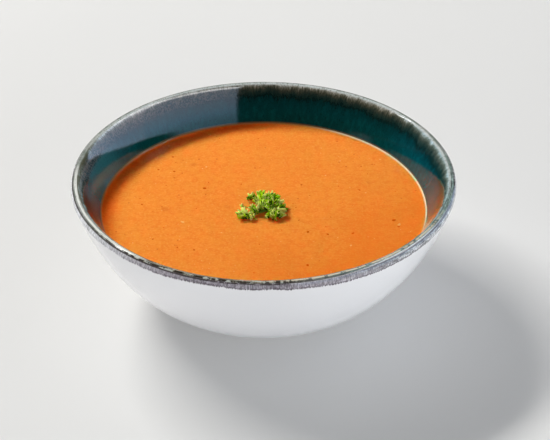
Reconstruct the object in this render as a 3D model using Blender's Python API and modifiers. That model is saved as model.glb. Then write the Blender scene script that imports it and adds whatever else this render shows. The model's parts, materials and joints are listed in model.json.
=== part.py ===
"""Tomato soup in its footed stoneware bowl, with a sprig of curly parsley lying in the middle.

Metres, +Z up, origin at the centre of the foot ring's underside. The bowl and the soup are turned
shapes round +Z. The sprig lies in the soup's surface, which is cut round its lowest leaves.
"""

import math

import bmesh
import bpy
from mathutils import Matrix, Vector

# Bowl, driving dimensions
RIM_R = 0.085  # widest radius, at the lip
BOWL_H = 0.060  # foot to the top of the lip
LIP_R = 0.00232  # radius of the rolled lip
LIP_LEAN = math.radians(17.6)  # how far the wall leans in from upright where it leaves the lip
WALL_T = 0.0063  # wall thickness at the floor
WALL_SWELL = 0.12  # how soon the wall reaches that thickness below the lip, as a share of its curve
UPPER_PULL = 0.0358  # how long the wall keeps its lean under the lip
LOWER_PULL = 0.0184  # how long the wall runs level before the foot
FOOT_R = 0.0365  # where the wall meets the foot ring
FOOT_H = 0.0038  # height of the foot ring outside
FOOT_W = 0.0046  # width of the foot ring
FOOT_EDGE = 0.0006  # rounding of the foot ring's two lower edges
BASE_Z = 0.0026  # underside of the base, inside the foot ring
FLOOR_DISH = 0.0002  # how much lower the floor's centre is than its edge

# Soup, driving dimensions
SOUP_DEPTH_BELOW_RIM = 0.0178
MENISCUS_H = 0.0008  # how far the soup climbs at the wall
MENISCUS_W = 0.0028  # how far in from the wall the climb begins
GAP = 0.0003  # between touching pieces

# Parsley, driving dimensions
LEAF_T = 0.0019  # thickness of a leaflet's curled fringe, taken as one body
LEAF_LOBES = 5
LOBE_DEPTH = 0.28  # depth of the scallops, as a share of the leaflet's radius
RUFFLE = 0.30  # how far one side of each lobe curls up and the other down, as a share of the radius
LEAF_DROOP = 0.12  # how far the leaflet's edge falls below its middle, as a share of the radius
STEM_R = 0.0006
STEM_TAPER = 0.8  # a stem's thickness at its leaflet, as a share of that at the stalk

# Fineness of the turned and scalloped shapes
TURN_STEPS = 64
WALL_POINTS = 9
LIP_POINTS = 6  # even, so that the crest is one of them
LEAF_SEGMENTS = 4 * LEAF_LOBES
LEAF_RINGS = 4
STEM_SIDES = 6

SOUP_Z = BOWL_H - SOUP_DEPTH_BELOW_RIM

# The sprig lies on the soup's surface. Its places are millimetres from the surface's middle.
MM = 0.001
HEART = Vector((3.4, -11.2, 3.9))  # where the head's stems meet
FORK = Vector((-5.6, -11.4, 2.3))  # where the side shoot's stems meet
FORK_ROOT = Vector((-2.6, -9.2, 3.4))  # where the side shoot leaves the head
HEAD_CENTRE = Vector((1.0, -6.0, -1.5))  # the head's leaflets face away from here
SIDE_CENTRE = Vector((-8.5, -10.0, -2.0))

# Leaflets of the head and of the side shoot: name, middle, radius
HEAD_LEAFLETS = (
    ("top", Vector((0.8, -5.8, 8.6)), 2.7),
    ("top_front", Vector((1.9, -9.4, 6.6)), 2.6),
    ("top_back", Vector((-1.2, -1.4, 8.2)), 2.6),
    ("top_right", Vector((4.4, -1.2, 7.6)), 2.6),
    ("right", Vector((6.6, -6.0, 5.8)), 2.7),
    ("left", Vector((-3.4, -5.4, 6.2)), 2.9),
    ("left_front", Vector((-2.6, -9.2, 3.8)), 2.6),
    ("far_left", Vector((-5.7, 1.0, 4.4)), 2.4),
    ("back", Vector((1.0, 3.0, 3.8)), 2.9),
    ("back_right", Vector((7.4, -0.6, 3.8)), 2.8),
    ("low_right", Vector((8.8, -8.8, 3.2)), 2.5),
    ("front_right", Vector((7.6, -12.4, 2.2)), 2.4),
    ("front", Vector((3.4, -12.9, 2.1)), 2.5),
)
SIDE_LEAFLETS = (
    ("side", Vector((-10.2, -10.0, 3.0)), 2.5),
    ("side_left", Vector((-12.4, -8.4, 1.8)), 2.0),
    ("side_back", Vector((-9.2, -6.6, 2.0)), 1.9),
    ("side_front", Vector((-5.7, -14.0, 1.3)), 1.6),
)

OBJECT_NAME = "tomato_soup"


def clear_scene():
    """Remove every object that the scene starts with."""
    for old in list(bpy.data.objects):
        bpy.data.objects.remove(old, do_unlink=True)


def new_collection(name):
    """Make a collection under the scene's own."""
    collection = bpy.data.collections.new(name)
    bpy.context.scene.collection.children.link(collection)
    return collection


def make_material(name, colour, roughness):
    """Make a Principled material that isn't metal."""
    material = bpy.data.materials.new(name)
    material.use_nodes = True
    shader = material.node_tree.nodes["Principled BSDF"]
    shader.inputs["Base Color"].default_value = (*colour, 1.0)
    shader.inputs["Roughness"].default_value = roughness
    shader.inputs["Metallic"].default_value = 0.0
    return material


def add_object(name, mesh, collection, material=None):
    """Wrap a mesh in an object of a collection."""
    made = bpy.data.objects.new(name, mesh)
    collection.objects.link(made)
    if material:
        mesh.materials.append(material)
    return made


def hide_tool(tool):
    """Mark an object as a cutter or a piece that another one takes in."""
    tool.hide_render = True
    tool.display_type = "WIRE"


# ---------------------------------------------------------------- bowl outline


def outer_wall(t):
    """Point (r, z) of the outside at t, from 0 under the lip to 1 at the foot, and its direction."""
    down = Vector((-math.sin(LIP_LEAN), -math.cos(LIP_LEAN)))
    lip_centre = Vector((RIM_R - LIP_R, BOWL_H - LIP_R))
    start = lip_centre + LIP_R * Vector((math.cos(LIP_LEAN), -math.sin(LIP_LEAN)))
    end = Vector((FOOT_R, FOOT_H))
    pulls = (start, start + down * UPPER_PULL, end + Vector((LOWER_PULL, 0.0)), end)
    weights = ((1 - t) ** 3, 3 * (1 - t) ** 2 * t, 3 * (1 - t) * t**2, t**3)
    slopes = (3 * (1 - t) ** 2, 6 * (1 - t) * t, 3 * t**2)
    point = sum((weight * pull for weight, pull in zip(weights, pulls)), Vector((0.0, 0.0)))
    along = Vector((0.0, 0.0))
    for slope, near, far in zip(slopes, pulls, pulls[1:]):
        along += slope * (far - near)
    return point, along.normalized()


def inner_wall(t, clear=0.0):
    """Point (r, z) of the inside across the wall from outer_wall(t), or clear of it by a gap."""
    point, along = outer_wall(t)
    inward = Vector((along.y, -along.x))
    swell = 1.0 - math.exp(-t / WALL_SWELL)
    thickness = 2 * LIP_R + (WALL_T - 2 * LIP_R) * swell
    return point + inward * (thickness + clear)


def lip_arc():
    """Points over the rolled lip, from the inside over its crest to its widest place."""
    centre = Vector((RIM_R - LIP_R, BOWL_H - LIP_R))
    points = []
    for step in range(LIP_POINTS - 1, -1, -1):
        angle = step * math.pi / LIP_POINTS
        points.append(centre + LIP_R * Vector((math.cos(angle), math.sin(angle))))
    return points


def foot_outline():
    """Points down the foot ring's outside, over its underside and up to the base's underside."""
    outer_r = FOOT_R - FOOT_EDGE
    inner_r = outer_r - FOOT_W
    return [
        Vector((outer_r, FOOT_H - FOOT_EDGE)),
        Vector((outer_r, FOOT_EDGE)),
        Vector((outer_r - FOOT_EDGE, 0.0)),
        Vector((inner_r + FOOT_EDGE, 0.0)),
        Vector((inner_r, FOOT_EDGE)),
        Vector((inner_r - FOOT_EDGE, BASE_Z)),
        Vector((0.0, BASE_Z)),
    ]


def bowl_outline():
    """Half section of the bowl, from the floor's middle over the lip to the base's middle."""
    floor_edge = inner_wall(1.0)
    points = [Vector((0.0, floor_edge.y - FLOOR_DISH))]
    for step in range(WALL_POINTS, -1, -1):
        points.append(inner_wall(step / WALL_POINTS))
    points += lip_arc()
    for step in range(WALL_POINTS + 1):
        points.append(outer_wall(step / WALL_POINTS)[0])
    return points + foot_outline()


def wall_height_t(height):
    """Place along the wall's curve where its inside, less the gap, is at a height."""
    high, low = 0.0, 1.0
    for _ in range(40):
        middle = (high + low) / 2
        if inner_wall(middle, GAP).y > height:
            high = middle
        else:
            low = middle
    return high


def soup_outline():
    """Half section of the soup, from the middle of its surface to the middle of its bottom."""
    wall = [inner_wall(step / WALL_POINTS, GAP) for step in range(WALL_POINTS + 1)]
    wet = [point for point in wall if point.y < SOUP_Z]
    top_t = wall_height_t(SOUP_Z + MENISCUS_H)
    edge = inner_wall(top_t, GAP)
    points = [Vector((0.0, SOUP_Z)), Vector((edge.x - MENISCUS_W, SOUP_Z))]
    points.append(Vector((edge.x - MENISCUS_W / 3, SOUP_Z + MENISCUS_H / 4)))
    points.append(edge)
    points += wet
    points.append(Vector((0.0, wet[-1].y - FLOOR_DISH)))
    return points


def turned(name, outline, collection, material):
    """Turn a half section round +Z with a Screw modifier."""
    mesh = bpy.data.meshes.new(name)
    corners = [(point.x, 0.0, point.y) for point in outline]
    mesh.from_pydata(corners, [(i, i + 1) for i in range(len(corners) - 1)], [])
    made = add_object(name, mesh, collection, material)
    screw = made.modifiers.new("turn", "SCREW")
    screw.axis = "Z"
    screw.angle = 2 * math.pi
    screw.steps = TURN_STEPS
    screw.render_steps = TURN_STEPS
    screw.use_merge_vertices = True
    screw.merge_threshold = 0.00001
    screw.use_smooth_shade = True
    return made


# ---------------------------------------------------------------- parsley


def leaflet_mesh(name, radius, grow):
    """Curled leaflet round its own Z: a flattened ball drawn out into lobes that twist."""
    shape = bmesh.new()
    bmesh.ops.create_uvsphere(shape, u_segments=LEAF_SEGMENTS, v_segments=LEAF_RINGS, radius=1.0)
    for vert in shape.verts:
        out = math.hypot(vert.co.x, vert.co.y)
        turn = math.atan2(vert.co.y, vert.co.x)
        lobe = 1.0 + LOBE_DEPTH * out * math.cos(LEAF_LOBES * turn)
        reach = out * (radius * lobe + grow)
        lift = radius * out**2 * (RUFFLE * math.sin(LEAF_LOBES * turn) - LEAF_DROOP)
        half = vert.co.z * (LEAF_T / 2 + grow)
        vert.co = Vector((reach * math.cos(turn), reach * math.sin(turn), half + lift))
    return to_mesh(shape, name)


def stem_mesh(name, start, end, grow):
    """Straight stem that tapers from start to end, closed at both ends."""
    along = end - start
    turned_to = along.to_track_quat("Z", "Y").to_matrix().to_4x4()
    shape = bmesh.new()
    bmesh.ops.create_cone(
        shape,
        cap_ends=True,
        segments=STEM_SIDES,
        radius1=STEM_R + grow,
        radius2=STEM_TAPER * STEM_R + grow,
        depth=along.length,
        matrix=Matrix.Translation((start + end) / 2) @ turned_to,
    )
    return to_mesh(shape, name)


def to_mesh(shape, name):
    """Turn a finished bmesh into a mesh."""
    mesh = bpy.data.meshes.new(name)
    shape.to_mesh(mesh)
    shape.free()
    return mesh


def sprig_pieces(collection, label, grow=0.0):
    """All leaflets and stems as separate closed shapes, made thicker by grow all over."""
    surface = Vector((0.0, 0.0, SOUP_Z))
    stems = [("fork", FORK_ROOT, FORK)]
    groups = ((HEAD_LEAFLETS, HEAD_CENTRE, HEART), (SIDE_LEAFLETS, SIDE_CENTRE, FORK))
    for leaflets, centre, stalk in groups:
        for number, (name, middle, radius) in enumerate(leaflets):
            leaf = add_object(f"{label}_{name}", leaflet_mesh(name, MM * radius, grow), collection)
            facing = (middle - centre).to_track_quat("Z", "Y").to_matrix().to_4x4()
            spin = Matrix.Rotation(number, 4, "Z")
            leaf.matrix_world = Matrix.Translation(surface + MM * middle) @ facing @ spin
            hide_tool(leaf)
            stems.append((name, stalk, middle))
    for name, start, end in stems:
        mesh = stem_mesh(name, MM * start, MM * end, grow)
        stem = add_object(f"{label}_{name}_stem", mesh, collection)
        stem.location = surface
        hide_tool(stem)


def join_with(target, operation, tools):
    """Give an object one Boolean modifier that works with a whole collection."""
    boolean = target.modifiers.new(operation.lower(), "BOOLEAN")
    boolean.operation = operation
    boolean.operand_type = "COLLECTION"
    boolean.collection = tools
    boolean.solver = "EXACT"


def outer_shell(joined, name):
    """Mesh of a joined object without the closed pockets left between its pieces."""
    depsgraph = bpy.context.evaluated_depsgraph_get()
    shape = bmesh.new()
    shape.from_mesh(bpy.data.meshes.new_from_object(joined.evaluated_get(depsgraph)))
    seen = set()
    shells = []
    for start in shape.faces:
        if start in seen:
            continue
        seen.add(start)
        shell = [start]
        for face in shell:
            neighbours = [other for edge in face.edges for other in edge.link_faces if other not in seen]
            seen.update(neighbours)
            shell.extend(dict.fromkeys(neighbours))
        shells.append(shell)
    shells.sort(key=len)
    for pocket in shells[:-1]:
        bmesh.ops.delete(shape, geom=pocket, context="FACES")
    return to_mesh(shape, name)


def make_parsley(collection, tools, material):
    """One solid sprig: the heart that its stems meet in, with every leaflet and stem taken in."""
    sprig_pieces(tools, "leaf")
    heart = bmesh.new()
    bmesh.ops.create_uvsphere(heart, u_segments=10, v_segments=6, radius=2 * STEM_R)
    joined = add_object("heart_and_leaves", to_mesh(heart, "heart"), collection)
    joined.location = Vector((0.0, 0.0, SOUP_Z)) + MM * HEART
    join_with(joined, "UNION", tools)
    sprig = add_object("parsley", outer_shell(joined, "parsley"), collection, material)
    sprig.location = joined.location
    bpy.data.objects.remove(joined)
    return sprig


def main():
    """Build the bowl, the soup and the sprig."""
    clear_scene()
    parts = new_collection(OBJECT_NAME)
    leaf_tools = new_collection("parsley_pieces")
    print_tools = new_collection("parsley_prints")
    glaze = make_material("bowl_glaze", (0.80, 0.80, 0.82), 0.15)
    soup_body = make_material("tomato_soup", (0.82, 0.26, 0.045), 0.30)
    leaf_green = make_material("parsley_green", (0.13, 0.32, 0.035), 0.50)

    bowl = turned("bowl", bowl_outline(), parts, glaze)
    soup = turned("soup", soup_outline(), parts, soup_body)
    soup.parent = bowl
    sprig_pieces(print_tools, "print", GAP)
    join_with(soup, "DIFFERENCE", print_tools)
    sprig = make_parsley(parts, leaf_tools, leaf_green)
    sprig.parent = soup


main()
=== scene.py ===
"""Tomato soup in its footed stoneware bowl, with a sprig of curly parsley on top.

Metres, +Z up, origin at the centre of the foot ring's underside. The bowl is glazed deep teal
inside and white outside. The teal breaks to a pale grey green over the lip and ends in a ragged
purple edge a few millimetres down the outside. Sizes given in millimetres say so in their names.
"""

import json
import logging
import math
import random
from collections.abc import Callable, Iterator, Sequence
from contextlib import contextmanager
from dataclasses import dataclass, field
from enum import Enum
from typing import Any

import bmesh
import bpy
from mathutils import Matrix, Quaternion, Vector
from mathutils.kdtree import KDTree

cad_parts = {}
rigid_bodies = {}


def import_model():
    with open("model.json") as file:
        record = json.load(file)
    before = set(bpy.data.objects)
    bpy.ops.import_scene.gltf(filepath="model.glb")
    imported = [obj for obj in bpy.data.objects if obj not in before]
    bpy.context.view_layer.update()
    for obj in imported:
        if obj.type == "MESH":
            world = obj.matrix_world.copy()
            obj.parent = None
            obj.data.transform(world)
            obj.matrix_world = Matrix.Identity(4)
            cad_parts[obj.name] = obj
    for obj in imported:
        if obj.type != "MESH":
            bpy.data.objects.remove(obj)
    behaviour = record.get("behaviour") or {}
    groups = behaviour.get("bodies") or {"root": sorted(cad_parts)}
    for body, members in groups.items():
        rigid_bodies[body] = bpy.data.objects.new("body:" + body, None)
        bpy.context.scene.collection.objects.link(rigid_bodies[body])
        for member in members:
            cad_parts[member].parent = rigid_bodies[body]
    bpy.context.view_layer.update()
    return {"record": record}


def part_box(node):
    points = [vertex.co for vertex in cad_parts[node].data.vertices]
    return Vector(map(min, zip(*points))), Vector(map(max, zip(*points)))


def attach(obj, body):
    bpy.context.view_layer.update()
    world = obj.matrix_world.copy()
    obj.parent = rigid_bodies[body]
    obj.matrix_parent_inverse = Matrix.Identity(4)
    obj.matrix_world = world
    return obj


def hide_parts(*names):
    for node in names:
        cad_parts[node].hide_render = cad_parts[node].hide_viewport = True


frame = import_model()

log = logging.getLogger("tomato_soup")

MM = 0.001
UP = Vector((0.0, 0.0, 1.0))
Colour = tuple[float, float, float]
Stops = Sequence[tuple[float, Colour]]  # (place, colour) in rising order
Greys = Sequence[tuple[float, float]]  # (place, grey) in rising order


class Slot(Enum):
    """Material slots of the record; the pieces here are given new finishes and don't use them."""

    GLAZE = "bowl_glaze"
    SOUP = "tomato_soup"
    PARSLEY = "parsley_green"


# ---------------------------------------------------------------- the modelling bench


def put_down() -> None:
    """Deselect every object."""
    for thing in bpy.context.scene.objects:
        thing.select_set(False)


def pick_up(piece: bpy.types.Object) -> None:
    """Make one object the only selected and active one.

    Args:
        piece: The object.
    """
    put_down()
    piece.select_set(True)
    bpy.context.view_layer.objects.active = piece


@contextmanager
def editing(piece: bpy.types.Object) -> Iterator[None]:
    """Open one piece in edit mode and close it again.

    Args:
        piece: The mesh object to work on.

    Returns:
        Nothing of use; the operators act on the piece while it is open.
    """
    pick_up(piece)
    bpy.ops.object.mode_set(mode="EDIT")
    try:
        yield
    finally:
        bpy.ops.object.mode_set(mode="OBJECT")


def select_points(piece: bpy.types.Object, wanted: Callable[[Vector], bool]) -> None:
    """Select the open piece's points by their place.

    Args:
        piece: The object in edit mode.
        wanted: Says of a point's place whether it is selected.
    """
    shape = bmesh.from_edit_mesh(piece.data)
    for face in shape.faces:
        face.select = False
    for edge in shape.edges:
        edge.select = False
    for point in shape.verts:
        point.select = wanted(point.co)
    shape.select_flush(True)
    bmesh.update_edit_mesh(piece.data)


def active_piece(name: str) -> bpy.types.Object:
    """Name the primitive that was just added.

    Args:
        name: Its name.

    Returns:
        The primitive.
    """
    piece = bpy.context.active_object
    piece.name = name
    piece.data.name = name
    return piece


def apply_place(piece: bpy.types.Object) -> None:
    """Put an object's place, turn and size into its mesh."""
    pick_up(piece)
    bpy.ops.object.transform_apply(location=True, rotation=True, scale=True)


def smooth(piece: bpy.types.Object, angle: float | None = None) -> None:
    """Shade a piece smooth.

    Args:
        piece: The piece.
        angle: Edges sharper than this stay sharp, if it is given.
    """
    pick_up(piece)
    if angle is None:
        bpy.ops.object.shade_smooth()
    else:
        bpy.ops.object.shade_smooth_by_angle(angle=angle)


def store(
    piece: bpy.types.Object, name: str, value: Callable[[bpy.types.MeshVertex], float]
) -> None:
    """Store a number on each of a piece's points.

    Args:
        piece: The piece.
        name: The number's name.
        value: Says what the number is at a point.
    """
    layer = piece.data.attributes.new(name, "FLOAT", "POINT")
    for vert in piece.data.vertices:
        layer.data[vert.index].value = value(vert)


def copy_of(piece: bpy.types.Object, place: Matrix) -> bpy.types.Object:
    """Copy an object with its own mesh.

    Args:
        piece: The object to copy.
        place: Where the copy goes, which way it turns and how large it is.

    Returns:
        The copy, with its place in its mesh.
    """
    copy = bpy.data.objects.new(piece.name, piece.data.copy())
    bpy.context.scene.collection.objects.link(copy)
    copy.data.transform(place)
    return copy


def discard(pieces: Sequence[bpy.types.Object]) -> None:
    """Remove objects that were only there to be copied."""
    for piece in pieces:
        bpy.data.objects.remove(piece, do_unlink=True)


def join(name: str, parts: Sequence[bpy.types.Object]) -> bpy.types.Object:
    """Join several objects into one piece.

    Args:
        name: The piece's name.
        parts: The objects that it is made of.

    Returns:
        The joined piece, with its place in its mesh.
    """
    put_down()
    for part in parts:
        part.select_set(True)
    bpy.context.view_layer.objects.active = parts[0]
    bpy.ops.object.join()
    piece = active_piece(name)
    apply_place(piece)
    return piece


def turned(name: str, outline: Sequence[Vector], steps: int) -> bpy.types.Object:
    """Draw a half section point by point and spin it round +Z.

    Args:
        name: The piece's name.
        outline: Points (r, z), beginning and ending on the axis.
        steps: Steps of the full turn.

    Returns:
        A closed piece with its faces pointing outwards.
    """
    put_down()
    first = outline[0]
    bpy.ops.mesh.primitive_plane_add(size=MM, location=(first.x, 0.0, first.y))
    piece = active_piece(name)
    apply_place(piece)
    with editing(piece):
        bpy.ops.mesh.select_all(action="SELECT")
        bpy.ops.mesh.merge(type="CENTER")
        for here, there in zip(outline, outline[1:]):
            step = (there.x - here.x, 0.0, there.y - here.y)
            bpy.ops.mesh.extrude_vertices_move(TRANSFORM_OT_translate={"value": step})
        bpy.ops.mesh.select_all(action="SELECT")
        bpy.ops.mesh.spin(steps=steps, angle=2 * math.pi, center=(0, 0, 0), axis=(0, 0, 1))
        bpy.ops.mesh.select_all(action="SELECT")
        bpy.ops.mesh.remove_doubles(threshold=0.01 * MM)
        bpy.ops.mesh.normals_make_consistent(inside=False)
    smooth(piece)
    return piece


def finish_piece(piece: bpy.types.Object, material: bpy.types.Material) -> None:
    """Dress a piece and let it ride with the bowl.

    Args:
        piece: The finished piece.
        material: Its finish.
    """
    piece.data.materials.clear()
    piece.data.materials.append(material)
    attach(piece, "root")
    log.info("%s: %d faces", piece.name, len(piece.data.polygons))


# ---------------------------------------------------------------- shader expressions


class Signal:
    """A number that runs through a material, so that sums of it are written as Python."""

    def __init__(self, graph: "Graph", socket: bpy.types.NodeSocket) -> None:
        """Wrap one output socket of a graph."""
        self.graph = graph
        self.socket = socket

    def _math(self, operation: str, first: Any, second: Any = 0.0) -> "Signal":
        """Add one Math node."""
        return self.graph.add("ShaderNodeMath", {"operation": operation}, {0: first, 1: second})

    def __add__(self, other: Any) -> "Signal":
        """Sum."""
        return self._math("ADD", self, other)

    def __sub__(self, other: Any) -> "Signal":
        """Difference."""
        return self._math("SUBTRACT", self, other)

    def __rsub__(self, other: Any) -> "Signal":
        """Difference, the number first."""
        return self._math("SUBTRACT", other, self)

    def __mul__(self, other: Any) -> "Signal":
        """Product."""
        return self._math("MULTIPLY", self, other)

    def __truediv__(self, other: Any) -> "Signal":
        """Quotient."""
        return self._math("DIVIDE", self, other)

    def __neg__(self) -> "Signal":
        """Opposite."""
        return self._math("MULTIPLY", self, -1.0)

    def __abs__(self) -> "Signal":
        """Size without its sign."""
        return self._math("ABSOLUTE", self)

    def __pow__(self, other: Any) -> "Signal":
        """Power."""
        return self._math("POWER", self, other)

    def at_most(self, other: Any) -> "Signal":
        """The lesser of two values."""
        return self._math("MINIMUM", self, other)

    def ease(self, low: float, high: float) -> "Signal":
        """Soft step from 0 at low to 1 at high, or the other way round where low is the greater."""
        inputs = {"Value": self, "From Min": low, "From Max": high}
        return self.graph.add("ShaderNodeMapRange", {"interpolation_type": "SMOOTHSTEP"}, inputs)


class Graph:
    """Nodes of a material, of a light or of the world."""

    def __init__(self, owner: bpy.types.Material | bpy.types.World | bpy.types.Light) -> None:
        """Start with an empty set of nodes.

        Args:
            owner: What the nodes belong to.
        """
        self.owner = owner
        owner.use_nodes = True
        self.tree = owner.node_tree
        self.tree.nodes.clear()

    @classmethod
    def of_material(cls, name: str) -> "Graph":
        """Start a new material of that name."""
        return cls(bpy.data.materials.new(name))

    def add(
        self, kind: str, settings: dict[str, Any], inputs: dict[Any, Any], output: Any = 0
    ) -> Signal:
        """Add one node.

        Args:
            kind: The node's type.
            settings: Its own properties, set first; "stops" holds a ramp's (place, colour) pairs.
            inputs: A number, a colour or a Signal for each socket, by name or number.
            output: Name or number of the output that is returned.

        Returns:
            The chosen output.
        """
        node = self.tree.nodes.new(kind)
        for name, value in settings.items():
            if name == "stops":
                self._set_stops(node.color_ramp, value)
            else:
                setattr(node, name, value)
        for key, value in inputs.items():
            socket = node.inputs[key]
            if isinstance(value, Signal):
                self.tree.links.new(value.socket, socket)
            elif isinstance(value, tuple) and socket.type == "RGBA":
                socket.default_value = (*value, 1.0)
            else:
                socket.default_value = value
        return Signal(self, node.outputs[output])

    def _set_stops(self, ramp: bpy.types.ColorRamp, stops: Stops) -> None:
        """Replace a ramp's stops.

        Args:
            ramp: The ramp.
            stops: Its new stops in rising order.
        """
        while len(ramp.elements) > 1:
            ramp.elements.remove(ramp.elements[-1])
        ramp.elements[0].position = stops[0][0]
        ramp.elements[0].color = (*stops[0][1], 1.0)
        for place, colour in stops[1:]:
            ramp.elements.new(place).color = (*colour, 1.0)

    def place(self) -> Signal:
        """Place of a point on the object, in metres."""
        return self.add("ShaderNodeTexCoord", {}, {}, "Object")

    def attribute(self, name: str) -> Signal:
        """A number stored on the mesh's points."""
        return self.add("ShaderNodeAttribute", {"attribute_name": name}, {}, "Fac")

    def part(self, vector: Signal, axis: str) -> Signal:
        """One of a vector's three numbers."""
        return self.add("ShaderNodeSeparateXYZ", {}, {"Vector": vector}, axis)

    def vector(self, x: Any, y: Any, z: Any) -> Signal:
        """A vector from three numbers."""
        return self.add("ShaderNodeCombineXYZ", {}, {"X": x, "Y": y, "Z": z})

    def summed(self, first: Signal, second: Signal) -> Signal:
        """Sum of two vectors."""
        return self.add("ShaderNodeVectorMath", {"operation": "ADD"}, {0: first, 1: second})

    def noise(
        self, vector: Signal, scale: float, detail: float = 2.0, roughness: float = 0.5
    ) -> Signal:
        """Soft cloudy noise, mostly between 0.3 and 0.7.

        Args:
            vector: Where it is looked up.
            scale: Its fineness.
            detail: How many finer layers are added.
            roughness: How strong those are.

        Returns:
            The noise.
        """
        inputs = {"Vector": vector, "Scale": scale, "Detail": detail, "Roughness": roughness}
        return self.add("ShaderNodeTexNoise", {}, inputs, "Fac")

    def spots(self, vector: Signal, scale: float, size: float, share: float) -> Signal:
        """Scattered round spots.

        Args:
            vector: Where they are looked up.
            scale: How close their cells lie.
            size: A spot's radius as a share of its cell.
            share: How many of the cells hold a spot, from 0 to 1.

        Returns:
            1 inside a spot and 0 outside.
        """
        inputs = {"Vector": vector, "Scale": scale}
        near = self.add("ShaderNodeTexVoronoi", {}, inputs, "Distance")
        cell = self.add("ShaderNodeTexVoronoi", {}, inputs, "Color")
        chosen = self.part(cell, "X").ease(share, share - 0.02)
        return near.ease(size, 0.45 * size) * chosen

    def ramp(self, value: Signal, stops: Stops) -> Signal:
        """Colour read off a ramp."""
        return self.add("ShaderNodeValToRGB", {"stops": stops}, {"Fac": value}, "Color")

    def blend(self, share: Any, first: Any, second: Any, how: str = "MIX") -> Signal:
        """Mix two colours, taking a share of the second one."""
        settings = {"data_type": "RGBA", "blend_type": how}
        return self.add("ShaderNodeMix", settings, {0: share, 6: first, 7: second}, 2)

    def times(self, colour: Any, factor: Any) -> Signal:
        """A colour times another one."""
        return self.blend(1.0, colour, factor, "MULTIPLY")

    def streaked(self, colour: Signal, value: Signal, greys: Greys) -> Signal:
        """A colour times a grey that is read off a ramp."""
        return self.times(colour, self.ramp(value, [(at, (grey,) * 3) for at, grey in greys]))

    def coats(self, base: Any, *coats: tuple[Any, Any]) -> Any:
        """Lay colours over a base, one after the other.

        Args:
            base: The colour underneath.
            coats: How far each coat covers, and its colour.

        Returns:
            The colour that shows.
        """
        for share, colour in coats:
            base = self.blend(share, base, colour)
        return base

    def bump(self, height: Signal, depth: float, strength: float = 1.0) -> Signal:
        """Normal of a surface raised by a height between 0 and 1, times a depth in metres."""
        inputs = {"Height": height, "Distance": depth, "Strength": strength}
        return self.add("ShaderNodeBump", {}, inputs)

    def show(self, shader: Signal, output: str) -> None:
        """Join a shader to a new output node of the given type."""
        out = self.tree.nodes.new(output)
        self.tree.links.new(shader.socket, out.inputs["Surface"])

    def principled(
        self, inputs: dict[Any, Any], scatter: str = "RANDOM_WALK"
    ) -> bpy.types.Material:
        """End the material in a Principled shader.

        Args:
            inputs: Its sockets' constants and links.
            scatter: How light spreads under its surface.

        Returns:
            The finished material.
        """
        settings = {"subsurface_method": scatter}
        shader = self.add("ShaderNodeBsdfPrincipled", settings, inputs)
        self.show(shader, "ShaderNodeOutputMaterial")
        return self.owner


# ---------------------------------------------------------------- finishes


class Rim:
    """Patterns measured round the bowl's rim and down its wall, in one material."""

    def __init__(self, graph: Graph, radius_mm: float) -> None:
        """Take up a graph.

        Args:
            graph: The material's graph; its mesh holds "run", the distance from the lip's crest.
            radius_mm: The rim's radius.
        """
        self.graph = graph
        self.radius_mm = radius_mm
        self.run = graph.attribute("run")
        spot = graph.place()
        flat = graph.vector(graph.part(spot, "X"), graph.part(spot, "Y"), 0.0)
        self.way = graph.add("ShaderNodeVectorMath", {"operation": "NORMALIZE"}, {0: flat})

    def side(self, degrees: float) -> Signal:
        """1 on the side of the bowl that lies at an angle from +X, falling to -1 opposite it."""
        turn, part = math.radians(degrees), self.graph.part
        return part(self.way, "X") * math.cos(turn) + part(self.way, "Y") * math.sin(turn)

    def grain(
        self, across: float, along: float, detail: float = 3.0, roughness: float = 0.6
    ) -> Signal:
        """Noise whose grain follows the rim.

        Args:
            across: Width of its grain round the rim, in millimetres.
            along: Length of its grain down the wall, in millimetres.
            detail: How many finer layers are added.
            roughness: How strong those are.

        Returns:
            The noise, mostly between 0.3 and 0.7.
        """
        graph = self.graph
        inputs = {"Vector": self.way, "Scale": self.radius_mm / across}
        turn = graph.add("ShaderNodeVectorMath", {"operation": "SCALE"}, inputs)
        spot = graph.summed(turn, graph.vector(0.0, 0.0, self.run / along))
        return graph.noise(spot, 1.0, detail, roughness)


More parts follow.
